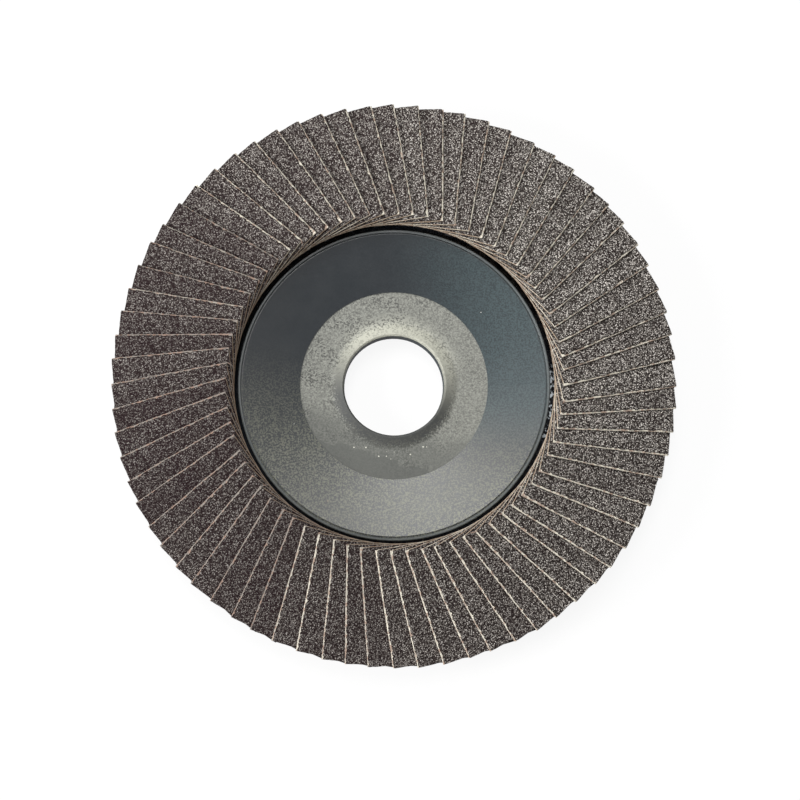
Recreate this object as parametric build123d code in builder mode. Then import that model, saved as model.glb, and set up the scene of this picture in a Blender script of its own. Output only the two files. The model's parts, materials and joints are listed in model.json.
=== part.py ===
"""Flap disc for an angle grinder: moulded backing plate, glue ring and overlapping abrasive flaps.

Millimetres. The origin is on the bore axis at the back face of the hub, and +Z points out of the
abrasive side. Each flap is a stiff rectangle of coated cloth. It leans, so that it lies over its
clockwise neighbour, and it twists, because the flaps crowd together towards the hub.
"""
from build123d import *
import os
from math import asin, cos, hypot, radians, sin, sqrt, tan

# Disc
disc_diameter = 125
bore_diameter = 22.23

# Hub and dish of the backing plate
hub_thickness = 5.5
back_seat_diameter = 43
front_seat_diameter = 41.6
front_seat_step = 0.15
collar_height = 1.1
collar_rim = 0.45
collar_width = 2.9
collar_fillet = 1.5
bore_chamfer = 0.3
dish_rise = 2.8
dish_wall = 2.6
back_seat_fillet = 0.6
back_root_fillet = 1.2

# Lip that centres the flaps, with the groove at its foot
lip_width = 0.65
lip_height = 2.4
lip_proud = 0.15
lip_chamfer = 0.2
groove_width = 0.35
groove_depth = 0.5

# Bed that carries the flaps
bed_wall = 2.6
bed_shoulder = 2.0
rim_radius = 0.9
flap_overhang = 4.2

# Ribs across the hollow behind the dish
rib_count = 12
rib_thickness = 1.6
rib_setback = 0.8
rib_run_out = 5.5

# Flaps
flap_count = 72
flap_width = 23
flap_length = 27
flap_thickness = 1.0
flap_ring_fall = 9
flap_spacing_gap = 0.06
flap_lip_gap = 0.4

# Cured glue under the flaps, with a bead that climbs the lip
glue_thickness = 0.8
glue_seat_gap = 0.05
glue_bead_height = 0.9
glue_bead_width = 1.2
glue_margin = 0.8

# Like pieces share one node in pairs
flaps_per_node = 2

bore_radius = bore_diameter / 2
disc_radius = disc_diameter / 2
flap_pitch = 360 / flap_count
ring_slope = tan(radians(flap_ring_fall))

# The flap ends are straight lines at these distances from the bore axis
outer_reach = sqrt(disc_radius**2 - (flap_width / 2) ** 2)
inner_reach = outer_reach - flap_length * cos(radians(flap_ring_fall))


def lean(reach):
    """Angle, in radians, at which flaps one pitch apart lie face to face."""
    arc = radians(flap_pitch) * reach
    return asin((flap_thickness + flap_spacing_gap) / arc)


def crown(reach):
    """How far the middle of a flap stands above its long edges, on the cone of the ring."""
    return ring_slope * (hypot(reach, flap_width / 2) - reach)


def flap_drop(reach):
    """Height from the middle of a flap down to its lowest edge."""
    half_lean = flap_width / 2 * sin(lean(reach))
    return half_lean + crown(reach) + flap_thickness / 2


# Radii of the plate
front_seat_radius = front_seat_diameter / 2
back_seat_radius = back_seat_diameter / 2
lip_radius = inner_reach - flap_lip_gap
lip_inner_radius = lip_radius - lip_width
groove_radius = lip_inner_radius - groove_width
plate_radius = outer_reach - flap_overhang
inner_corner = hypot(inner_reach, flap_width / 2)

# Heights of the flap ring and of the bed below it
lip_top = hub_thickness + dish_rise
dish_top = lip_top - lip_proud
bed_inner_height = lip_top - lip_height
inner_height = bed_inner_height + glue_thickness + glue_seat_gap + flap_drop(inner_reach)
outer_height = inner_height - ring_slope * (outer_reach - inner_reach)
bed_outer_height = outer_height - flap_drop(outer_reach) - glue_seat_gap - glue_thickness
bed_slope = (bed_inner_height - bed_outer_height) / (disc_radius - inner_corner)


def bed_height(radius):
    """Top of the bed, which falls towards the rim."""
    return bed_inner_height - bed_slope * (radius - inner_corner)


# One flap, with its middle line over the X axis
with BuildPart() as flap:
    for reach, height in ((inner_reach, inner_height), (outer_reach, outer_height)):
        with BuildSketch(Plane(origin=(reach, 0, height), x_dir=(0, 1, 0), z_dir=(1, 0, 0))):
            half_width = flap_width / 2 * cos(lean(reach))
            half_rise = flap_width / 2 * sin(lean(reach))
            with BuildLine():
                SagittaArc(
                    (-half_width, half_rise - flap_thickness / 2 - crown(reach)),
                    (half_width, -half_rise - flap_thickness / 2 - crown(reach)),
                    crown(reach),
                )
                offset(amount=flap_thickness, side=Side.LEFT)
            make_face()
    loft(ruled=True)

# One rib, which ends inside the walls that it joins
shoulder_radius = lip_inner_radius - bed_shoulder
rib_radius = lip_radius + rib_run_out
with BuildPart() as rib:
    with BuildSketch(Plane.XZ):
        with BuildLine():
            Polyline(
                (front_seat_radius, rib_setback),
                (rib_radius, bed_height(rib_radius) - bed_wall),
                (rib_radius, bed_height(rib_radius) - bed_wall / 2),
                (lip_inner_radius, lip_top - dish_wall),
                (front_seat_radius, hub_thickness - dish_wall / 2),
                close=True,
            )
        make_face()
    extrude(amount=rib_thickness / 2, both=True)

# Backing plate, turned from one profile of radius and height
back_root = (back_seat_radius, hub_thickness - dish_wall)
collar_foot = (bore_radius + collar_width, hub_thickness)
with BuildPart() as backing_plate:
    with BuildSketch(Plane.XZ):
        with BuildLine():
            Polyline(
                (bore_radius, 0),
                (back_seat_radius, 0),
                back_root,
                (shoulder_radius, lip_top - dish_wall),
                (lip_radius, bed_height(lip_radius) - bed_wall),
                (plate_radius, bed_height(plate_radius) - bed_wall),
                (plate_radius, bed_height(plate_radius)),
                (lip_radius, bed_height(lip_radius)),
                (lip_radius, lip_top),
                (lip_inner_radius, lip_top),
                (lip_inner_radius, dish_top - groove_depth),
                (groove_radius, dish_top - groove_depth),
                (groove_radius, dish_top),
                (front_seat_radius, hub_thickness + front_seat_step),
                (front_seat_radius, hub_thickness),
                collar_foot,
                (bore_radius + collar_rim, hub_thickness + collar_height),
                (bore_radius, hub_thickness + collar_height),
                close=True,
            )
        make_face()
        chamfer(vertices().group_by(Axis.X)[0], bore_chamfer)
        chamfer(vertices().group_by(Axis.Y)[-1], lip_chamfer)
        fillet(vertices().group_by(Axis.X)[-1], rim_radius)
        fillet(vertices().group_by(Axis.Y)[0].sort_by(Axis.X)[-1], back_seat_fillet)
        fillet(vertices().sort_by_distance(back_root)[0], back_root_fillet)
        fillet(vertices().sort_by_distance(collar_foot)[0], collar_fillet)
    revolve(axis=Axis.Z)
    with PolarLocations(0, rib_count):
        add(rib.part)
backing_plate.part.label = "backing_plate"

# Glue ring on the bed, up against the lip
glue_radius = plate_radius - glue_margin
bead_radius = lip_radius + glue_bead_width
bead_top = bed_height(lip_radius) + glue_thickness + glue_bead_height
with BuildPart() as glue_ring:
    with BuildSketch(Plane.XZ):
        with BuildLine():
            Polyline(
                (lip_radius, bed_height(lip_radius)),
                (glue_radius, bed_height(glue_radius)),
                (glue_radius - glue_thickness, bed_height(glue_radius) + glue_thickness),
                (bead_radius, bed_height(bead_radius) + glue_thickness),
                (lip_radius, bead_top),
                close=True,
            )
        make_face()
    revolve(axis=Axis.Z)
glue_ring.part.label = "glue_ring"

os.makedirs("parts", exist_ok=True)
export_step(backing_plate.part, "parts/backing_plate.step")
export_step(glue_ring.part, "parts/glue_ring.step")

# Flaps around the ring, clockwise
for first_flap in range(0, flap_count, flaps_per_node):
    flaps_here = min(flaps_per_node, flap_count - first_flap)
    with BuildPart() as flap_pair:
        with PolarLocations(0, flaps_here, -first_flap * flap_pitch, -flaps_here * flap_pitch):
            add(flap.part)
    flap_pair.part.label = f"flap_pair_{first_flap // flaps_per_node + 1:02d}"
    export_step(flap_pair.part, f"parts/{flap_pair.part.label}.step")
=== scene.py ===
# %% [markdown]
# # A flap disc
#
# A flap disc is the abrasive wheel of an angle grinder. A moulded plastic plate carries a ring of
# glue, and 72 little rectangles of sandpaper stand in that glue, each lying over the next one, like
# the slats of a half-shut blind. The cut edges of the cloth are pale, so the fan reads as a ring of
# fine cream lines over dark, speckled grit.
#
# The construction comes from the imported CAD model, in metres, with its origin on the bore axis at
# the back of the hub. The plate keeps its CAD mesh. The glue and the flaps are made again here as
# worked-out surfaces, because their looks lie in small relief: chipped grit, frayed cloth, ripples.

# %% Load the frame
import json
import math

import bpy
import numpy as np
from mathutils import Matrix, Vector

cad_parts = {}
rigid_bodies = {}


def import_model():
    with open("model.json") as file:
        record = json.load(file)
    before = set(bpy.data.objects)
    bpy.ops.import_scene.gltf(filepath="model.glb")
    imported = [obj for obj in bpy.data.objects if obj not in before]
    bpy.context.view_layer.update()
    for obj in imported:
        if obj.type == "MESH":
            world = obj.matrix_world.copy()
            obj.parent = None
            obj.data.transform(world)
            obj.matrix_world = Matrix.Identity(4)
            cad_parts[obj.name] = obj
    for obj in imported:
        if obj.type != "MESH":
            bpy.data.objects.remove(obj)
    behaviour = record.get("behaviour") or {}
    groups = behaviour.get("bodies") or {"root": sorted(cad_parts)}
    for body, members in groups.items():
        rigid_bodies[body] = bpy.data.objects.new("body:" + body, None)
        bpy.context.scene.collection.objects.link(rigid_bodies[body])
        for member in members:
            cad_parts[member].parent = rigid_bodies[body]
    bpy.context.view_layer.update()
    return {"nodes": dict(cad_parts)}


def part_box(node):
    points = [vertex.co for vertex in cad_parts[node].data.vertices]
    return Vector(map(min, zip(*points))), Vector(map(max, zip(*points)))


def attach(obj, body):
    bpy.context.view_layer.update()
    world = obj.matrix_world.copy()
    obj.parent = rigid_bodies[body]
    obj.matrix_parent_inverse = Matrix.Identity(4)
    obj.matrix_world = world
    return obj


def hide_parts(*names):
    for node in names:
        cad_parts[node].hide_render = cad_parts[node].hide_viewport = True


for leftover in list(bpy.data.objects):
    bpy.data.objects.remove(leftover)
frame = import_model()
mm = 0.001

# %% [markdown]
# ## Sizes
#
# The flaps are described by a few sizes of the real product. The rest follows from them: where the
# two ends of a flap lie, and how far it leans there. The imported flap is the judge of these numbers,
# so the cell prints how far the lowest point that they give is from the foot of its CAD box.

# %% Driving sizes
disc_radius = 62.5 * mm
flap_count = 72
flaps_per_node = 2
flap_width = 23 * mm
flap_length = 27 * mm
flap_thickness = 1.0 * mm
flap_ring_fall = math.radians(9)
flap_spacing_gap = 0.06 * mm
flap_pitch = math.tau / flap_count
ring_slope = math.tan(flap_ring_fall)

outer_reach = math.sqrt(disc_radius**2 - (flap_width / 2) ** 2)
inner_reach = outer_reach - flap_length * math.cos(flap_ring_fall)

glue_low, glue_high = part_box("glue_ring")
plate_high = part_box("backing_plate")[1]
seat_height = 5.5 * mm
seat_radius = 20.8 * mm
collar_foot_radius = 14.0 * mm
flap_lip_gap = 0.4 * mm
lip_width = 0.65 * mm
lip_radius = inner_reach - flap_lip_gap
lip_top = plate_high.z


def lean(reach):
    """Angle at which flaps one pitch apart lie face to face: asin(thickness and gap over arc)."""
    return math.asin((flap_thickness + flap_spacing_gap) / (flap_pitch * reach))


def crown(reach):
    """How far the middle of a flap stands above its long edges, on the cone of the ring."""
    return ring_slope * (math.hypot(reach, flap_width / 2) - reach)


flap_low, flap_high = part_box("flap_pair_01")
inner_lean, outer_lean = lean(inner_reach), lean(outer_reach)
inner_height = flap_high.z - flap_width / 2 * math.sin(inner_lean) + crown(inner_reach)
inner_height -= flap_thickness * (math.cos(inner_lean) - 0.5)
outer_height = inner_height - ring_slope * (outer_reach - inner_reach)
lowest = outer_height - crown(outer_reach) - flap_thickness / 2
lowest -= flap_width / 2 * math.sin(outer_lean)
print("flap ends at", round(inner_reach / mm, 3), "and", round(outer_reach / mm, 3), "mm")
print("flap middles at", round(inner_height / mm, 3), "and", round(outer_height / mm, 3), "mm high")
print("foot of the flap is off its CAD box by", round((lowest - flap_low.z) / mm, 4), "mm")

# %% [markdown]
# ## Camera, floor and light
#
# The disc lies on its back and is seen from almost straight above, with the image's up along +Y.
# The camera stands a little beside the axis, so a sliver of the bore's far wall shows. It looks at
# a point half-way between the axis and its own foot, and a small lens shift brings the disc back
# into the middle. That keeps the rings of the disc nearly concentric in the picture.
#
# A tall soft window stands behind the disc and a little to the left. It reaches from low to almost
# overhead, so the dish mirrors it. A second window, lower and at the left, rakes across the fan, so
# that cloth edges get a bright side and a dark side. A pale wall in front throws a little light
# back on the ends of the flaps that face it. The sky around them is weak and even.
#
# The floor is a flat white square whose own shading is mostly replaced by plain white for the eye,
# which leaves a soft shadow. From below it is clear, so that the back of the disc can be looked at
# too.

# %% Camera
picture_size = 800
camera_height = 300 * mm
camera_beside = Vector((-5.9 * mm, -28.3 * mm, 0))
look_share = 0.5
look_height = 9 * mm
focal_pixels = 1332.0
shift_left, shift_down = 19.1, 48.6

camera_place = camera_beside + Vector((0, 0, camera_height))
target = look_share * camera_beside + Vector((0, 0, look_height))
back = (camera_place - target).normalized()
rightwards = Vector((0, 1, 0)).cross(back).normalized()
upwards = back.cross(rightwards)
camera_data = bpy.data.cameras.new("camera")
camera = bpy.data.objects.new("camera", camera_data)
bpy.context.scene.collection.objects.link(camera)
facing = Matrix((rightwards, upwards, back)).transposed()
camera.matrix_world = Matrix.Translation(camera_place) @ facing.to_4x4()
camera_data.sensor_width = 36
camera_data.lens = camera_data.sensor_width * focal_pixels / picture_size
camera_data.shift_x = shift_left / picture_size
camera_data.shift_y = shift_down / picture_size
camera_data.clip_start = 0.01
bpy.context.scene.camera = camera
print("lens, mm:", round(camera_data.lens, 1))

# %% Helpers for node trees


def add_node(tree, kind, inputs=None, **settings):
    """A new node, with its settings, and its inputs set to values or linked to sockets."""
    made = tree.nodes.new(kind)
    for name, value in settings.items():
        setattr(made, name, value)
    for name, value in (inputs or {}).items():
        if isinstance(value, bpy.types.NodeSocket):
            tree.links.new(value, made.inputs[name])
        else:
            made.inputs[name].default_value = value
    return made


def maths(tree, operation, *values):
    """One Math node over its values, each a number or a socket."""
    return add_node(tree, "ShaderNodeMath", dict(enumerate(values)), operation=operation).outputs[0]


def product(tree, first, *others):
    """Values multiplied together, each a number or a socket."""
    for other in others:
        first = maths(tree, "MULTIPLY", first, other)
    return first


def fade(tree, value, start, end, low=0.0, high=1.0):
    """Smooth step from low to high as value goes from start to end."""
    inputs = {"Value": value, "From Min": start, "From Max": end, "To Min": low, "To Max": high}
    return add_node(tree, "ShaderNodeMapRange", inputs, interpolation_type="SMOOTHSTEP").outputs[0]


def blend_colours(tree, share, first, second):
    """Mixes two colours; share is how much of the second shows."""
    made = add_node(tree, "ShaderNodeMix", data_type="RGBA")
    for index, value in ((0, share), (6, first), (7, second)):
        if isinstance(value, bpy.types.NodeSocket):
            tree.links.new(value, made.inputs[index])
        elif index == 0:
            made.inputs[index].default_value = value
        else:
            made.inputs[index].default_value = (*value, 1)
    return made.outputs[2]


def colour_ramp(tree, value, stops):
    """Runs value through a ramp; stops is a list of (place, colour)."""
    ramp = add_node(tree, "ShaderNodeValToRGB", {"Fac": value})
    while len(ramp.color_ramp.elements) < len(stops):
        ramp.color_ramp.elements.new(1)
    for element, (place, colour) in zip(ramp.color_ramp.elements, stops):
        element.position = place
        element.color = (*colour, 1)
    return ramp.outputs["Color"]


def new_material(name):
    """An empty node material; returns the material, its tree and its Principled node."""
    material = bpy.data.materials.new(name)
    material.use_nodes = True
    tree = material.node_tree
    return material, tree, tree.nodes["Principled BSDF"]


def seen_by_eye(tree):
    """1 where the eye looks straight, or by way of a reflection or glass, and 0 for other light."""
    rays = add_node(tree, "ShaderNodeLightPath").outputs
    turned_rays = maths(tree, "MAXIMUM", rays["Is Glossy Ray"], rays["Is Transmission Ray"])
    return maths(tree, "MAXIMUM", rays["Is Camera Ray"], turned_rays)


# %% Floor and sky
floor_size = 3.0
floor_height = -0.02 * mm
floor_white = 0.92
white_share = 0.9
sky_strength = 0.19

floor_mesh = bpy.data.meshes.new("floor")
half = floor_size / 2
floor_corners = [(-half, -half), (half, -half), (half, half), (-half, half)]
floor_mesh.from_pydata([(*corner, floor_height) for corner in floor_corners], [], [(0, 1, 2, 3)])
floor = bpy.data.objects.new("floor", floor_mesh)
bpy.context.scene.collection.objects.link(floor)
floor_material, tree, shader = new_material("floor_white")
tree.nodes.remove(shader)
paper = add_node(tree, "ShaderNodeBsdfDiffuse", {"Color": (floor_white,) * 3 + (1,)})
glow = add_node(tree, "ShaderNodeEmission", {"Color": (1, 1, 1, 1), "Strength": 1.0})
seen = maths(tree, "MULTIPLY", seen_by_eye(tree), white_share)
both = add_node(tree, "ShaderNodeMixShader",
                {0: seen, 1: paper.outputs[0], 2: glow.outputs[0]})
underside = add_node(tree, "ShaderNodeNewGeometry").outputs["Backfacing"]
clear = add_node(tree, "ShaderNodeBsdfTransparent")
one_sided = add_node(tree, "ShaderNodeMixShader",
                     {0: underside, 1: both.outputs[0], 2: clear.outputs[0]})
tree.links.new(one_sided.outputs[0], tree.nodes["Material Output"].inputs["Surface"])
floor_mesh.materials.append(floor_material)

world = bpy.data.worlds.new("sky")
bpy.context.scene.world = world
world.use_nodes = True
tree = world.node_tree
strength = fade(tree, seen_by_eye(tree), 0, 1, sky_strength, 1.0)
tree.links.new(strength, tree.nodes["Background"].inputs["Strength"])
tree.nodes["Background"].inputs["Color"].default_value = (1, 1, 1, 1)
print("floor, m:", floor_size, "wide; sky strength:", sky_strength)

# %% Lamps


def soft_lamp(name, azimuth, elevation, size, power):
    """A rectangular area lamp that looks at the disc. Azimuth turns from +Y towards -X."""
    azimuth, elevation = math.radians(azimuth), math.radians(elevation)
    flat = math.cos(elevation)
    away = Vector((-math.sin(azimuth) * flat, math.cos(azimuth) * flat, math.sin(elevation)))
    lamp_data = bpy.data.lights.new(name, "AREA")
    lamp_data.shape = "RECTANGLE"
    lamp_data.size, lamp_data.size_y = size
    lamp_data.energy = power
    lamp = bpy.data.objects.new(name, lamp_data)
    bpy.context.scene.collection.objects.link(lamp)
    facing = away.to_track_quat("Z", "Y").to_matrix().to_4x4()
    lamp.matrix_world = Matrix.Translation(target + lamp_distance * away) @ facing


lamp_distance = 0.7
soft_lamp("tall_window", azimuth=9, elevation=63, size=(0.26, 0.38), power=4.1)
soft_lamp("side_window", azimuth=98, elevation=30, size=(0.26, 0.24), power=4.6)
soft_lamp("far_wall", azimuth=160, elevation=20, size=(0.60, 0.30), power=1.1)
bpy.context.scene.view_settings.view_transform = "Standard"
print("lamps:", [lamp_data.name for lamp_data in bpy.data.lights])

# %% [markdown]
# ## Shared surface effects
#
# Three effects turn up in more than one finish, so each is a node group with named sockets. They
# put out only values. *Mottle* is cloudy unevenness. *Grains* is a packed bed of small stones on a
# plane, each with its own shade and tint. *Specks* is a sprinkling of single dots, such as dust.

# %% Node groups


def new_group(name, inputs, outputs):
    """An empty shader group: inputs as {name: default}, None for a vector, and float outputs."""
    group = bpy.data.node_groups.new(name, "ShaderNodeTree")
    for socket_name, default in inputs.items():
        kind = "NodeSocketVector" if default is None else "NodeSocketFloat"
        socket = group.interface.new_socket(socket_name, in_out="INPUT", socket_type=kind)
        if default is not None:
            socket.default_value = default
    for socket_name in outputs:
        group.interface.new_socket(socket_name, in_out="OUTPUT", socket_type="NodeSocketFloat")
    return group, group.nodes.new("NodeGroupInput"), group.nodes.new("NodeGroupOutput")


def per_size(tree, size):
    """Texture scale for a feature of that size."""
    return maths(tree, "DIVIDE", 1.0, size)


mottle_group, given, result = new_group(
    "mottle", {"Vector": None, "Size": 0.002, "Detail": 3.0}, ["Value"])
cloud = add_node(mottle_group, "ShaderNodeTexNoise", {
    "Vector": given.outputs["Vector"],
    "Scale": per_size(mottle_group, given.outputs["Size"]),
    "Detail": given.outputs["Detail"],
    "Roughness": 0.6,
})
spread = fade(mottle_group, cloud.outputs["Fac"], 0.3, 0.7)
mottle_group.links.new(spread, result.inputs["Value"])

grains_group, given, result = new_group(
    "grains", {"Vector": None, "Size": 0.0004}, ["Shade", "Tint", "Height"])
stones = add_node(grains_group, "ShaderNodeTexVoronoi", {
    "Vector": given.outputs["Vector"],
    "Scale": per_size(grains_group, given.outputs["Size"]),
}, voronoi_dimensions="2D")
shade = add_node(grains_group, "ShaderNodeSeparateColor", {0: stones.outputs["Color"]})
height = fade(grains_group, stones.outputs["Distance"], 0.7, 0.0)
grains_group.links.new(shade.outputs[0], result.inputs["Shade"])
grains_group.links.new(shade.outputs[1], result.inputs["Tint"])
grains_group.links.new(height, result.inputs["Height"])

specks_group, given, result = new_group(
    "specks", {"Vector": None, "Spacing": 0.002, "Share": 0.15, "Amount": 0.3}, ["Mask"])
dots = add_node(specks_group, "ShaderNodeTexVoronoi", {
    "Vector": given.outputs["Vector"],
    "Scale": per_size(specks_group, given.outputs["Spacing"]),
})
pick = add_node(specks_group, "ShaderNodeSeparateColor", {0: dots.outputs["Color"]})
near = maths(specks_group, "LESS_THAN", dots.outputs["Distance"], given.outputs["Share"])
chosen = maths(specks_group, "LESS_THAN", pick.outputs[0], given.outputs["Amount"])
specks_group.links.new(maths(specks_group, "MULTIPLY", near, chosen), result.inputs["Mask"])


def place_group(tree, group, inputs):
    """Places a shared group in a material."""
    return add_node(tree, "ShaderNodeGroup", inputs, node_tree=group)


def mottle(tree, place, size, detail=3.0):
    """Cloudy value from 0 to 1, in patches of that size."""
    inputs = {"Vector": place, "Size": size, "Detail": detail}
    return place_group(tree, mottle_group, inputs).outputs[0]


def specks(tree, place, spacing, share, amount):
    """1 on single dots: share is their radius over their spacing, amount how many of them show."""
    inputs = {"Vector": place, "Spacing": spacing, "Share": share, "Amount": amount}
    return place_group(tree, specks_group, inputs).outputs[0]


print("shared effects:", [group.name for group in bpy.data.node_groups])

# %% [markdown]
# ## The backing plate
#
# The plate is one moulding in black plastic, but the mould gives it three finishes. The dish and the
# collar round the bore are smooth and shine. The flange seat between them was spark-eroded in the
# mould, so it is matt and speckled and looks pale grey beside them. The crest of the lip that centres
# the flaps is drawn as a light line. The zones are rings, so the material tells them by radius.

# %% Plate zones
plate_material, tree, shader = new_material("plate_plastic")
place = add_node(tree, "ShaderNodeTexCoord").outputs["Object"]
flat_place = add_node(tree, "ShaderNodeVectorMath", {0: place, 1: (1, 1, 0)}, operation="MULTIPLY")
radius = add_node(tree, "ShaderNodeVectorMath", {0: flat_place.outputs[0]},
                  operation="LENGTH").outputs["Value"]
right, ahead, height = add_node(tree, "ShaderNodeSeparateXYZ", {0: place}).outputs
fine = mottle(tree, place, 0.36 * mm, 4.0)
broad = mottle(tree, place, 5 * mm)
pits = place_group(tree, grains_group, {"Vector": place, "Size": 0.28 * mm}).outputs["Shade"]

# Flange seat: from the collar, with a ragged border, to a sharp outer rim
rim_blur = 0.05 * mm
ragged = maths(tree, "MULTIPLY_ADD", fine, 1.6 * mm, radius)
past_collar = fade(tree, ragged, collar_foot_radius - 0.4 * mm, collar_foot_radius + 1.1 * mm)
inside_rim = fade(tree, radius, seat_radius + rim_blur, seat_radius - rim_blur)
on_hub = product(tree, inside_rim, maths(tree, "GREATER_THAN", height, seat_height - 0.3 * mm))

# Lip: the narrow crest
crest_radius = lip_radius - lip_width
on_crest = fade(tree, height, lip_top - 0.22 * mm, lip_top - 0.12 * mm)
crest = product(
    tree, on_crest, fade(tree, radius, crest_radius - rim_blur, crest_radius + rim_blur))
print("collar to", round(collar_foot_radius / mm, 2), "mm, seat to", round(seat_radius / mm, 2),
      "mm, dish to", round(crest_radius / mm, 2), "mm from the axis")

# %% [markdown]
# ### The hub
#
# The pits of the spark-eroded seat are dark. They crowd in patches and are rarer at the right.
# The near side of the seat is darker and smoother, the most beyond an almost straight border. The
# collar is painted pale on its far side as a highlight, and that painted shine runs out over the
# seat; its near side is painted dark as shade, and a few pale chipped dots lie just outside it.

# %% Hub colours
crowding = product(tree, fade(tree, broad, 0.1, 0.9, 0.3, 0.9),
                   fade(tree, right, 2 * mm, 14 * mm, 1.0, 0.5))
pitted = product(tree, fade(tree, pits, 0.45, 0.85), crowding)
seat_colour = colour_ramp(tree, fine, [
    (0.0, (0.115, 0.117, 0.103)),
    (0.45, (0.190, 0.193, 0.170)),
    (1.0, (0.265, 0.269, 0.238)),
])
seat_colour = blend_colours(tree, pitted, seat_colour, (0.035, 0.035, 0.031))

# The seat is darker and smoother towards the near side, the most beyond an almost straight border.
nearness = maths(tree, "MULTIPLY_ADD", right, 0.22, ahead)
nearness = maths(tree, "MULTIPLY_ADD", broad, 3 * mm, nearness)
near_dark_smooth = maths(tree, "ADD", fade(tree, nearness, -5.1 * mm, -12.1 * mm, 0.0, 0.7),
             fade(tree, nearness, -14.4 * mm, -15.1 * mm, 0.0, 0.3))
seat_colour = blend_colours(tree, product(tree, near_dark_smooth, 0.87), seat_colour, (0.070, 0.073, 0.066))

# Painted light on the collar: a painted highlight on its far side and painted shade on its near side.
painted_highlight, painted_shade = (0.480, 0.480, 0.405), (0.044, 0.046, 0.044)
farness = maths(tree, "MULTIPLY_ADD", right, 0.2, ahead)
collar_painted_light = blend_colours(tree, fade(tree, farness, -6 * mm, 12 * mm), painted_shade, painted_highlight)
collar_pits = product(tree, fade(tree, pits, 0.55, 0.9),
                      fade(tree, radius, 11.3 * mm, 13.4 * mm, 0.25, 0.6))
collar_painted_light = blend_colours(tree, collar_pits, collar_painted_light, (0.10, 0.10, 0.085))
# Painted shine: the collar's painted highlight runs out over the seat.
painted_shine = product(tree, fade(tree, ragged, 17.5 * mm, 14 * mm), fade(tree, farness, 3 * mm, 12 * mm),
               fade(tree, pits, 0.85, 0.35, 0.1, 0.5))
seat_colour = blend_colours(tree, painted_shine, seat_colour, painted_highlight)
chips = product(tree, fade(tree, radius, 14.6 * mm, 14.8 * mm),
                fade(tree, radius, 16.6 * mm, 16.4 * mm),
                maths(tree, "LESS_THAN", ahead, -10.5 * mm),
                specks(tree, place, spacing=0.9 * mm, share=0.18, amount=0.26))
seat_colour = blend_colours(tree, chips, seat_colour, (0.62, 0.61, 0.53))
hub_colour = blend_colours(tree, past_collar, collar_painted_light, seat_colour)
print("hub drawn with", len(tree.nodes), "nodes so far")

# %% [markdown]
# ### The dish
#
# The dish is black. Towards its near side a painted sheen brightens it in fine speckle, a bluish
# painted sheen lies at its right, and the crest of its lip is drawn lighter. Single grains of dust
# and a few brown crumbs lie anywhere. The seat is rougher than the dish, and the wall of the bore is
# the roughest.

# %% Dish colours and plate finish
dish_colour = blend_colours(tree, broad, (0.004, 0.007, 0.010), (0.009, 0.012, 0.015))
# Painted reflection: a sheen towards the near side of the dish, broken into fine speckle.
sheen_side = maths(tree, "MULTIPLY_ADD", right, 0.15, ahead)
painted_sheen = product(tree, fade(tree, fine, 0.25, 0.9),
                 fade(tree, sheen_side, 7 * mm, -28 * mm, 0.0, 0.75))
dish_colour = blend_colours(tree, painted_sheen, dish_colour, (0.205, 0.208, 0.150))
# Painted reflection: a bluish sheen at the right of the dish.
painted_blue_sheen = product(tree, fade(tree, right, -4 * mm, 26 * mm), fade(tree, ahead, -18 * mm, -3 * mm),
               fade(tree, fine, 0.1, 0.9, 0.2, 0.6))
dish_colour = blend_colours(tree, painted_blue_sheen, dish_colour, (0.055, 0.088, 0.094))

colour = blend_colours(tree, on_hub, dish_colour, hub_colour)
colour = blend_colours(tree, product(tree, crest, 0.7), colour, (0.11, 0.12, 0.12))
dust = specks(tree, place, spacing=3.2 * mm, share=0.04, amount=0.14)
colour = blend_colours(tree, product(tree, dust, 0.7), colour, (0.5, 0.5, 0.47))
crumbs = specks(tree, place, spacing=5 * mm, share=0.05, amount=0.12)
colour = blend_colours(tree, product(tree, crumbs, 0.6), colour, (0.36, 0.26, 0.17))
tree.links.new(colour, shader.inputs["Base Color"])

in_bore = fade(tree, radius, 11.4 * mm, 11.2 * mm)
roughness = maths(tree, "MULTIPLY_ADD", in_bore, 0.45, fade(tree, on_hub, 0, 1, 0.33, 0.56))
roughness = maths(tree, "ADD", fade(tree, fine, 0, 1, -0.03, 0.05), roughness)
tree.links.new(roughness, shader.inputs["Roughness"])
shader.inputs["Specular IOR Level"].default_value = 0.40

eroded = product(tree, on_hub, past_collar, fade(tree, near_dark_smooth, 0, 1, 1, 0.4))
relief = product(tree, maths(tree, "SUBTRACT", fine, pits), fade(tree, eroded, 0, 1, 0.15, 1))
bump = add_node(tree, "ShaderNodeBump", {"Height": relief, "Strength": 0.35, "Distance": 0.05 * mm})
tree.links.new(bump.outputs[0], shader.inputs["Normal"])

plate = frame["nodes"]["backing_plate"]
plate.data.materials.clear()
plate.data.materials.append(plate_material)
print("plate drawn with", len(tree.nodes), "nodes")

# %% [markdown]
# ## The glue ring
#
# The flaps stand in cured epoxy, which shows only as a black gloss in the narrow gap between the lip
# and the flaps. It was liquid once, so its bead climbs the lip in small ripples, and those catch the
# light as glints. The ring is a profile carried round the axis. The ripples push the profile inwards
# only, so that the ring stays within its CAD solid. On one side, pale bluish glints are painted on
# the glue.

# %% Glue ring
rng = np.random.default_rng(72)
glue_steps = 720
glue_thickness = 0.8 * mm
bead_width = 1.2 * mm
ripple_depth = 0.28 * mm


def smooth_noise(count, waves, draws):
    """Closed random wave, 0 to 1: a sum of cosines with whole numbers of waves, random phases."""
    angle = np.arange(count) / count * math.tau
    phase = draws.random(len(waves)) * math.tau
    total = sum(np.cos(wave * angle + start) for wave, start in zip(waves, phase))
    return (total - total.min()) / (total.max() - total.min())


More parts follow.
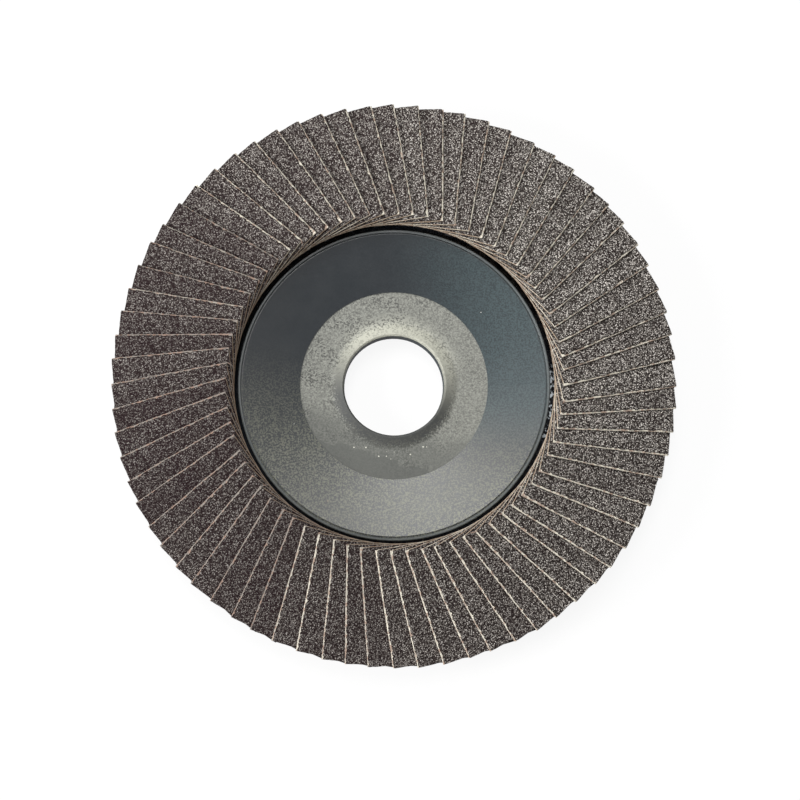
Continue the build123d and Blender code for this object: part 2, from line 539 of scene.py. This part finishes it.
def turned_surface(name, radii, heights):
    """Closed ring: column i of the arrays is the profile at angle i, and rows run round it."""
    rows, steps = radii.shape
    angle = np.arange(steps) / steps * math.tau
    points = np.stack([radii * np.cos(angle), radii * np.sin(angle), heights], -1).reshape(-1, 3)
    row, step = np.meshgrid(np.arange(rows), np.arange(steps), indexing="ij")
    next_row, next_step = (row + 1) % rows, (step + 1) % steps
    corners = [row * steps + step, row * steps + next_step,
               next_row * steps + next_step, next_row * steps + step]
    faces = np.stack(corners, -1).reshape(-1, 4)
    mesh = bpy.data.meshes.new(name)
    mesh.from_pydata(points.tolist(), [], faces.tolist())
    mesh.polygons.foreach_set("use_smooth", np.ones(len(faces), bool))
    ring = bpy.data.objects.new(name, mesh)
    bpy.context.scene.collection.objects.link(ring)
    return ring


glue_inner = lip_radius
glue_outer = glue_high.x
bead_height = 0.9 * mm
bed_at_lip = glue_high.z - bead_height - glue_thickness
bed_slope = (bed_at_lip - glue_low.z) / (glue_outer - glue_inner)


def bed_height(radius):
    """Top of the plate's bed: it falls in a straight line from the lip outwards."""
    return bed_at_lip - bed_slope * (radius - glue_inner)


# The profile, from the lip's foot outwards along the bed, up, back over the glue and up the bead
top_radii = np.linspace(glue_outer - glue_thickness, glue_inner + bead_width, 14)
bead_share = np.linspace(0, 1, 9)[1:]
bead_radii = glue_inner + bead_width * (1 - bead_share)
bead_lift = bead_height * bead_share**1.6
profile_radii = np.concatenate([[glue_inner, glue_outer], top_radii, bead_radii])
profile_heights = bed_height(profile_radii)
profile_heights[2:] += glue_thickness
profile_heights[-len(bead_radii):] += bead_lift

rows = len(profile_radii)
ripple = np.array([smooth_noise(glue_steps, (7, 17 + row, 41, 67 + row, 113), rng)
                   for row in range(rows)])
is_surface = np.clip(np.arange(rows) - 2, 0, 1)[:, None]
radii = np.repeat(profile_radii[:, None], glue_steps, 1)
heights = np.repeat(profile_heights[:, None], glue_steps, 1) - ripple_depth * ripple * is_surface
glue = turned_surface("glue_ring_rippled", radii, heights)
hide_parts("glue_ring")
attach(glue, "root")
print("glue bead, mm:", round(bead_width / mm, 2), "wide,", round(bead_height / mm, 2), "high")

# %% Glue material
glue_material, tree, shader = new_material("cured_glue")
place = add_node(tree, "ShaderNodeTexCoord").outputs["Object"]
right, ahead, height = add_node(tree, "ShaderNodeSeparateXYZ", {0: place}).outputs
cloudy = mottle(tree, place, 1.5 * mm)
fine = mottle(tree, place, 0.5 * mm, 2.0)
loose_grit = specks(tree, place, spacing=0.9 * mm, share=0.2, amount=0.2)
colour = blend_colours(tree, cloudy, (0.008, 0.010, 0.013), (0.016, 0.019, 0.024))
colour = blend_colours(tree, product(tree, loose_grit, 0.6), colour, (0.11, 0.095, 0.085))
# Painted glints: pale bluish patches on the glue at the right side.
glue_glints_painted = product(tree, fade(tree, ahead, 6 * mm, 1 * mm), fade(tree, ahead, -13 * mm, -10 * mm),
                  maths(tree, "GREATER_THAN", right, 0.0),
                  fade(tree, mottle(tree, place, 1.1 * mm, 4.0), 0.55, 0.70))
colour = blend_colours(tree, glue_glints_painted, colour, (0.80, 0.88, 0.94))
tree.links.new(colour, shader.inputs["Base Color"])
tree.links.new(fade(tree, cloudy, 0, 1, 0.10, 0.24), shader.inputs["Roughness"])
bump = add_node(tree, "ShaderNodeBump", {"Height": fine, "Strength": 0.5, "Distance": 0.12 * mm})
tree.links.new(bump.outputs[0], shader.inputs["Normal"])
glue.data.materials.append(glue_material)
print("glue drawn with", len(tree.nodes), "nodes")

# %% [markdown]
# ## The shape of one flap
#
# A flap is a stiff rectangle of coated cloth. Its two ends are gently crowned lines that lean, the
# inner one more than the outer one, because the flaps crowd together towards the hub. Everything
# between is ruled straight from one end to the other, so the flap is a twisted sheet. A point on it
# has three numbers: how far along it lies from the inner end, how far across from the low edge to
# the high one, and how deep between the cloth back and the grit face.

# %% The flap as a function


def end_section(reach, height, across, depth):
    """Sideways and upward place of a point of one flap end.

    Across runs from -1 at the low edge to 1 at the high edge: the place is across times the leaning
    half width, plus a parabola for the crown, plus depth times the thickness along the normal.
    """
    tilt, rise = lean(reach), crown(reach)
    chord = np.array([-math.cos(tilt), math.sin(tilt)])
    normal = np.array([math.sin(tilt), math.cos(tilt)])
    slope = -4 * rise / flap_width * across
    up = normal - slope[..., None] * chord
    up /= np.linalg.norm(up, axis=-1, keepdims=True)
    underside = np.array([0, height - flap_thickness / 2 - rise])
    line = underside + across[..., None] * flap_width / 2 * chord
    line += rise * (1 - across[..., None] ** 2) * normal
    return line + depth[..., None] * flap_thickness * up


def on_flap(along, across, depth):
    """Places on the flap over the X axis: the two end sections joined by straight lines."""
    share = (along / flap_length)[..., None]
    inner = end_section(inner_reach, inner_height, across, depth)
    outer = end_section(outer_reach, outer_height, across, depth)
    side_up = inner + share * (outer - inner)
    reach = inner_reach + share * (outer_reach - inner_reach)
    return np.concatenate([reach, side_up], -1)


# Rows along the flap and columns across it. Only the strip near the high edge shows, so the columns
# are close together there and far apart under the next flap.
fine_step = 0.34 * mm
shown_strip = 6.3 * mm
edge_columns = np.array([0, 0.09, 0.18, 0.28, 0.42]) * mm
from_edge = np.concatenate([
    edge_columns,
    np.arange(0.72 * mm, shown_strip, fine_step),
    np.array([8.5, 12, 17, 23]) * mm,
])
end_rows = np.array([0, 0.1, 0.2, 0.32]) * mm
along_rows = np.concatenate([
    end_rows,
    np.arange(0.6 * mm, flap_length - 0.5 * mm, fine_step),
    (flap_length - end_rows)[::-1],
])
row_count, column_count = len(along_rows), len(from_edge)
print("one flap:", row_count, "rows by", column_count, "columns, twice")

# %% [markdown]
# ## Wear and unevenness of the flaps
#
# The cloth is cut from the grit side, and grit flakes off along the cut. So each flap has a narrow
# ledge of bare cream cloth round its edge, wide here and thin there, and its edge wanders a little.
# The grit itself is lumpy. The outer ends are trimmed after the glue has set, which takes the most
# off the high edges, and those edges don't all reach equally far. All of this takes material away
# and never adds any, so a flap stays within its CAD solid. The draws are seeded, so that every run
# gives the same disc.

# %% Sizes of the wear
grit_depth = 0.13 * mm
face_depth = 0.95
cloth_depth = 0.44
back_depth = 0.05
ledge_least = 0.10 * mm
ledge_spread = 0.36 * mm
inner_ledge = 0.14 * mm
corner_fray = 0.8 * mm
outer_ledge = 0.05 * mm
corner_radius = 0.5 * mm
end_trim = 0.28 * mm
edge_setback = 0.45 * mm
edge_wander = 0.16 * mm
end_wander = 0.07 * mm
short_by = 0.25 * mm
print("ledge, mm:", round(ledge_least / mm, 2), "to", round((ledge_least + ledge_spread) / mm, 2))

# %% Relief of one flap


def wavy_line(places, spacing, draws):
    """Random line along places: random values a spacing apart, joined by straight lines, 0 to 1."""
    knots = np.arange(0, places[-1] + 2 * spacing, spacing)
    return np.interp(places, knots, draws.random(len(knots)))


def rounded_corner(along, inward, radius):
    """Moves points beyond an arc at the worn outer corner back onto it, towards its centre."""
    to_end = radius - (flap_length - along)
    to_edge = radius - inward
    distance = np.hypot(to_end, to_edge)
    beyond = (to_end > 0) & (to_edge > 0) & (distance > radius)
    pull = np.where(beyond, radius / np.maximum(distance, radius), 1)
    moved_along = np.where(beyond, flap_length - radius + to_end * pull, along)
    moved_inward = np.where(beyond, radius - to_edge * pull, inward)
    return moved_along, moved_inward


def flap_relief(draws):
    """Along, across and depth of one flap's grit face, and the layer that each point lies in."""
    length = flap_length - draws.random() * short_by
    start = draws.random() * short_by / 2
    along = start + along_rows / flap_length * (length - start)
    edge_in = edge_wander * (0.6 * wavy_line(along_rows, 3.5 * mm, draws)
                             + 0.4 * wavy_line(along_rows, 0.45 * mm, draws))
    fading = np.exp(-from_edge / (0.6 * mm))
    setback = draws.random() * edge_setback * np.clip(1 - from_edge / (8 * mm), 0, 1)
    inward = from_edge[None, :] + setback[None, :] + edge_in[:, None] * fading[None, :]
    end_in = end_wander * wavy_line(from_edge, 0.5 * mm, draws)
    end_out = end_wander * wavy_line(from_edge, 0.5 * mm, draws)
    near_start = np.exp(-along_rows / (0.5 * mm))
    near_end = np.exp(-(flap_length - along_rows) / (0.5 * mm))
    end_out += end_trim * np.clip(1 - from_edge / shown_strip, 0, 1)
    moved_in = near_start[:, None] * end_in[None, :]
    moved_out = near_end[:, None] * end_out[None, :]
    along = along[:, None] + moved_in - moved_out
    along, inward = rounded_corner(along, inward, corner_radius)
    across = np.maximum(1 - 2 * inward / flap_width, -1)

    ledge = ledge_least + ledge_spread * wavy_line(along_rows, 0.42 * mm, draws) ** 1.4
    ledge += corner_fray * draws.random() * np.exp(-along_rows / (0.5 * mm))
    bare_side = from_edge[None, :] < ledge[:, None]
    bare_inner = (along_rows < inner_ledge)[:, None]
    bare_outer = (flap_length - along_rows < outer_ledge)[:, None]
    bare = bare_side | bare_inner | bare_outer
    lumps = draws.random((row_count, column_count)) ** 1.5
    depth = np.where(bare, cloth_depth, face_depth - grit_depth / flap_thickness * lumps)
    layer = np.where(bare, 0.5, 1.0)
    return along, across, depth, layer


# %% Mesh of one flap


def flap_mesh_data(draws):
    """One flap over the X axis: two grids of points and the rim between them, facing outwards.

    Returns points, faces, the layer and the flat place of each point, and which faces are smooth.
    """
    along, across, depth, layer = flap_relief(draws)
    top = on_flap(along, across, depth).reshape(-1, 3)
    bottom = on_flap(along, across, np.full_like(depth, back_depth)).reshape(-1, 3)
    row, column = np.meshgrid(np.arange(row_count - 1), np.arange(column_count - 1), indexing="ij")
    first = row * column_count + column
    below = first + column_count
    grid = np.stack([first, below, below + 1, first + 1], -1).reshape(-1, 4)
    size = row_count * column_count
    index = np.arange(size).reshape(row_count, column_count)
    border = np.concatenate([index[0, :-1], index[:-1, -1], index[-1, :0:-1], index[:0:-1, 0]])
    following = np.roll(border, -1)
    rim = np.stack([border, following, following + size, border + size], -1)
    faces = np.concatenate([grid, grid[:, ::-1] + size, rim])
    points = np.concatenate([top, bottom])
    layers = np.concatenate([layer.ravel(), np.zeros(size)])
    flat_places = np.stack([along, (1 - across) * flap_width / 2], -1).reshape(-1, 2)
    smooth = np.ones(len(faces), bool)
    smooth[-len(rim):] = False
    return points, faces, layers, np.concatenate([flat_places, flat_places]), smooth


# %% [markdown]
# ## The cloth and its grit
#
# One material dresses both sides of a flap. It reads *layer*, a number that each point carries: 0 on
# the cloth back, about a half where bare cloth shows, 1 on the grit. Grit is a bed of small stones in
# brown resin: most are dark, some small ones are painted in shade, a few are pale, and a few carry
# painted glints. The dark resin in the gaps between stones is deepened with painted shade. The bed is
# laid out on the flat cloth, moved by each flap's tone-and-shade value, so no two flaps are alike.
# Where the bed breaks off along a cut, a thin dark line of resin, deepened with painted shade, marks
# the step. The cloth is cream at the cut, stained with resin in places, and brown at the back, where
# its weave shows. The flap's value also darkens the grit and dulls the cut cloth towards one side of
# the fan, as painted shade.

# %% Grit colours
cloth_material, tree, shader = new_material("abrasive_cloth")
place = add_node(tree, "ShaderNodeTexCoord").outputs["Object"]
layer = add_node(tree, "ShaderNodeAttribute", attribute_name="layer").outputs["Fac"]
tone_and_shade = add_node(tree, "ShaderNodeAttribute", attribute_name="tone_and_shade").outputs["Fac"]

uv = add_node(tree, "ShaderNodeUVMap", uv_map="flat").outputs["UV"]
own_place = add_node(tree, "ShaderNodeVectorMath", {0: uv, 1: tone_and_shade}, operation="ADD").outputs[0]
stones = place_group(tree, grains_group, {"Vector": own_place, "Size": 0.32 * mm})
small_stones = place_group(tree, grains_group, {"Vector": own_place, "Size": 0.22 * mm})
drift = mottle(tree, place, 2.5 * mm)
stain = mottle(tree, place, 0.9 * mm)

stone_colour = colour_ramp(tree, stones.outputs["Shade"], [
    (0.00, (0.020, 0.017, 0.014)),
    (0.33, (0.135, 0.123, 0.108)),
    (0.60, (0.400, 0.368, 0.327)),
    (0.84, (0.760, 0.708, 0.645)),
    (1.00, (1.000, 0.950, 0.890)),
])
rosy = fade(tree, stones.outputs["Tint"], 0.4, 1.0, 0.0, 0.25)
stone_colour = blend_colours(tree, rosy, stone_colour, (0.170, 0.115, 0.115))
in_shade = fade(tree, small_stones.outputs["Shade"], 0.1, 0.8, 0.75, 0.0)
stone_colour = blend_colours(tree, in_shade, stone_colour, (0.022, 0.018, 0.017))
# Painted glints: a few small stones are drawn near white, as if flashing.
painted_stone_glint = fade(tree, small_stones.outputs["Shade"], 0.74, 0.94, 0.0, 0.7)
stone_colour = blend_colours(tree, painted_stone_glint, stone_colour, (0.96, 0.90, 0.83))
# The gaps between stones are dark resin, deepened with painted shade.
gap_resin_and_shade = fade(tree, stones.outputs["Height"], 0.10, 0.70, 0.90, 0.0)
stone_colour = blend_colours(tree, gap_resin_and_shade, stone_colour, (0.014, 0.011, 0.010))
# Painted shade: the flap's value, mostly its place in the fan, darkens the grit towards plum-black.
plum_shade = maths(tree, "MULTIPLY_ADD", tone_and_shade, 0.74, product(tree, drift, 0.06))
grit_colour = blend_colours(tree, plum_shade, stone_colour, (0.016, 0.007, 0.009))
print("grit drawn with", len(tree.nodes), "nodes")

# %% Cloth colours
# Painted shade: the cut cloth turns dingy on flaps towards the shaded side.
cream_and_shade = blend_colours(tree, fade(tree, tone_and_shade, 0.68, 0.80), (0.65, 0.61, 0.52), (0.26, 0.232, 0.208))
stained = product(tree, fade(tree, stain, 0.42, 0.8), 0.8)
edge_colour = blend_colours(tree, stained, cream_and_shade, (0.30, 0.195, 0.150))
from_end, from_high_edge = add_node(tree, "ShaderNodeSeparateXYZ", {0: uv}).outputs[:2]
soaked = product(tree, fade(tree, from_end, 0.22 * mm, 0.16 * mm, 0.0, 0.7),
                 fade(tree, from_high_edge, 0.3 * mm, 1.4 * mm))
edge_colour = blend_colours(tree, soaked, edge_colour, (0.30, 0.215, 0.145))
back_colour = blend_colours(tree, stain, (0.23, 0.135, 0.085), (0.15, 0.090, 0.055))
cloth_colour = blend_colours(tree, fade(tree, layer, 0.0, 0.08), back_colour, edge_colour)

# %% Flap material
frayed = maths(tree, "MULTIPLY_ADD", small_stones.outputs["Shade"], 0.12, layer)
gritty = fade(tree, frayed, 0.66, 0.74)
colour = blend_colours(tree, gritty, cloth_colour, grit_colour)
# Painted shade: a thin dark line along the step where the grit bed breaks off, over a dark resin
# edge.
break_resin_and_shade = product(tree, fade(tree, layer, 0.60, 0.70), fade(tree, layer, 0.99, 0.88, 0.0, 0.85))
colour = blend_colours(tree, break_resin_and_shade, colour, (0.020, 0.016, 0.013))
tree.links.new(colour, shader.inputs["Base Color"])

glossy_stone = fade(tree, stones.outputs["Shade"], 0.86, 0.95, 0.72, 0.34)
tree.links.new(blend_colours(tree, gritty, (0.88,) * 3, glossy_stone), shader.inputs["Roughness"])

thread_pitch = 0.55 * mm
waves = math.tau / thread_pitch
warp = maths(tree, "SINE", product(tree, from_end, waves))
weft = maths(tree, "SINE", product(tree, from_high_edge, waves))
weave = maths(tree, "MULTIPLY_ADD", product(tree, warp, weft), 0.25, 0.5)
stone_height = maths(tree, "MULTIPLY_ADD", small_stones.outputs["Height"], 0.5,
                     stones.outputs["Height"])
surface_height = maths(tree, "ADD", product(tree, gritty, stone_height),
                       product(tree, maths(tree, "SUBTRACT", 1.0, gritty), weave))
bump = add_node(tree, "ShaderNodeBump",
                {"Height": surface_height, "Strength": 0.7, "Distance": 0.15 * mm})
tree.links.new(bump.outputs[0], shader.inputs["Normal"])
shader.inputs["Specular IOR Level"].default_value = 0.05
print("flap drawn with", len(tree.nodes), "nodes")

# %% [markdown]
# ## The fan of flaps
#
# The flaps follow each other clockwise, one pitch apart, and two share each CAD node. A flap is
# built over the X axis and then turned into its place in its points, so every object sits at the
# origin.
#
# The flaps were set by machine but not perfectly. Each is a trace out of step, and one space is wider
# than the rest, which the flaps on both sides of it make up for little by little. Each flap carries a
# value from 0 to 1 that grows towards the near side, with a random part; apart from that random part
# it is painted shade. It turns the grit from grey to plum-brown and the cut cloth dingy.

# %% Places of the flaps
out_of_step = math.radians(0.28)
wider_space_after = 2
wider_space = math.radians(0.5)
settle_over = 4

draws = np.random.default_rng(125)
steps_off = draws.uniform(-out_of_step, out_of_step, flap_count)
for member in range(settle_over):
    step = wider_space * (1 - member / settle_over)
    steps_off[(wider_space_after - member) % flap_count] = step
    steps_off[(wider_space_after + 1 + member) % flap_count] = -step
print("most out of step, degrees:", round(math.degrees(np.abs(steps_off).max()), 2))

# %% Build the fan
# Painted shade: flaps towards this side of the fan get darker grit and dingier cut cloth.
shaded_side = math.radians(207)
random_tone = 0.2


def turn_about_axis(points, angle):
    """Turns points about the bore axis."""
    cosine, sine = math.cos(angle), math.sin(angle)
    return points @ np.array([[cosine, sine, 0], [-sine, cosine, 0], [0, 0, 1]])


def flap_group(name, flaps):
    """One mesh object of the given flaps, with their layer, tone-and-shade value and flat places."""
    points, faces, layers, tone_and_shade_values, flats, smooth = [], [], [], [], [], []
    start = 0
    for flap in flaps:
        place, mesh_faces, layer, flat, is_smooth = flap_mesh_data(draws)
        points.append(turn_about_axis(place, -flap * flap_pitch + steps_off[flap]))
        faces.append(mesh_faces + start)
        layers.append(layer)
        nearness = 0.5 + 0.5 * math.cos(-flap * flap_pitch - shaded_side)
        tone_and_shade = random_tone * draws.random() + (1 - random_tone) * nearness
        tone_and_shade_values.append(np.full(len(place), tone_and_shade))
        flats.append(flat)
        smooth.append(is_smooth)
        start += len(place)
    faces = np.concatenate(faces)
    mesh = bpy.data.meshes.new(name)
    mesh.from_pydata(np.concatenate(points).tolist(), [], faces.tolist())
    mesh.polygons.foreach_set("use_smooth", np.concatenate(smooth))
    mesh.attributes.new("layer", "FLOAT", "POINT").data.foreach_set("value", np.concatenate(layers))
    mesh.attributes.new("tone_and_shade", "FLOAT", "POINT").data.foreach_set("value", np.concatenate(tone_and_shade_values))
    uv = mesh.uv_layers.new(name="flat")
    uv.data.foreach_set("uv", np.concatenate(flats)[faces.ravel()].ravel())
    mesh.materials.append(cloth_material)
    made = bpy.data.objects.new(name, mesh)
    bpy.context.scene.collection.objects.link(made)
    return made


triangles = 0
for pair in range(flap_count // flaps_per_node):
    node = f"flap_pair_{pair + 1:02d}"
    flaps = range(pair * flaps_per_node, (pair + 1) * flaps_per_node)
    piece = flap_group(f"abrasive_{node}", flaps)
    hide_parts(node)
    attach(piece, "root")
    triangles += 2 * len(piece.data.polygons)
print(flap_count, "flaps,", triangles, "triangles")

# %% [markdown]
# ## Loose threads
#
# Where the cloth was cut, single cotton threads work loose at the inner corners. Each is a thin
# tube with closed ends, along a short curve that starts inside the high corner of a flap and bows
# over the flap's end.

# %% Threads
thread_radius = 0.13 * mm
thread_points = 9
thread_sides = 6
thread_count = 22
root_along, root_across, root_depth = 0.25 * mm, 0.985, 0.75


def thread_tube(start, aim, sag):
    """Points and faces of one thread: rings round start + t * aim + t^2 * sag, t from 0 to 1."""
    share = np.linspace(0, 1, thread_points)[:, None]
    line = start + share * aim + share**2 * sag
    heading = aim + 2 * share * sag
    heading /= np.linalg.norm(heading, axis=1, keepdims=True)
    beside = np.cross(heading, [0, 0, 1])
    beside /= np.linalg.norm(beside, axis=1, keepdims=True)
    above = np.cross(beside, heading)
    angle = np.arange(thread_sides) / thread_sides * math.tau
    thin = thread_radius * (1 - 0.5 * share**3)
    ring = np.cos(angle)[:, None] * beside[:, None] + np.sin(angle)[:, None] * above[:, None]
    points = (line[:, None] + thin[:, None] * ring).reshape(-1, 3)
    row, side = np.meshgrid(np.arange(thread_points - 1), np.arange(thread_sides), indexing="ij")
    following = (side + 1) % thread_sides
    low_row, high_row = row * thread_sides, (row + 1) * thread_sides
    faces = np.stack([low_row + side, high_row + side,
                      high_row + following, low_row + following], -1)
    first_end = np.array([[0, 1, 2, 3], [0, 3, 4, 5]])
    last_end = first_end[:, ::-1] + (thread_points - 1) * thread_sides
    return points, np.concatenate([faces.reshape(-1, 4), first_end, last_end])


points, faces = [], []
for number, flap in enumerate(draws.choice(flap_count, thread_count, replace=False)):
    corner = on_flap(*np.array([[root_along], [root_across], [root_depth]]))[0]
    aim = np.array([draws.uniform(-1.4, -0.3), draws.uniform(-0.9, 1.8), 0]) * mm
    sag = np.array([draws.uniform(-0.4, 0.6), draws.uniform(-0.5, 0.5), -0.5]) * mm
    tube, tube_faces = thread_tube(corner, aim, sag)
    points.append(turn_about_axis(tube, -flap * flap_pitch + steps_off[flap]))
    faces.append(tube_faces + number * len(tube))
thread_mesh = bpy.data.meshes.new("loose_threads")
thread_mesh.from_pydata(np.concatenate(points).tolist(), [], np.concatenate(faces).tolist())
thread_mesh.polygons.foreach_set("use_smooth", np.ones(len(thread_mesh.polygons), bool))
bare_cloth = np.full(len(thread_mesh.vertices), 0.5)
thread_mesh.attributes.new("layer", "FLOAT", "POINT").data.foreach_set("value", bare_cloth)
# The threads take the full value, so their cloth is drawn in the dingy, shaded cream.
thread_mesh.attributes.new("tone_and_shade", "FLOAT", "POINT").data.foreach_set("value", 2 * bare_cloth)
thread_mesh.uv_layers.new(name="flat")
thread_mesh.materials.append(cloth_material)
threads = bpy.data.objects.new("loose_threads", thread_mesh)
bpy.context.scene.collection.objects.link(threads)
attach(threads, "root")
print(thread_count, "loose threads")
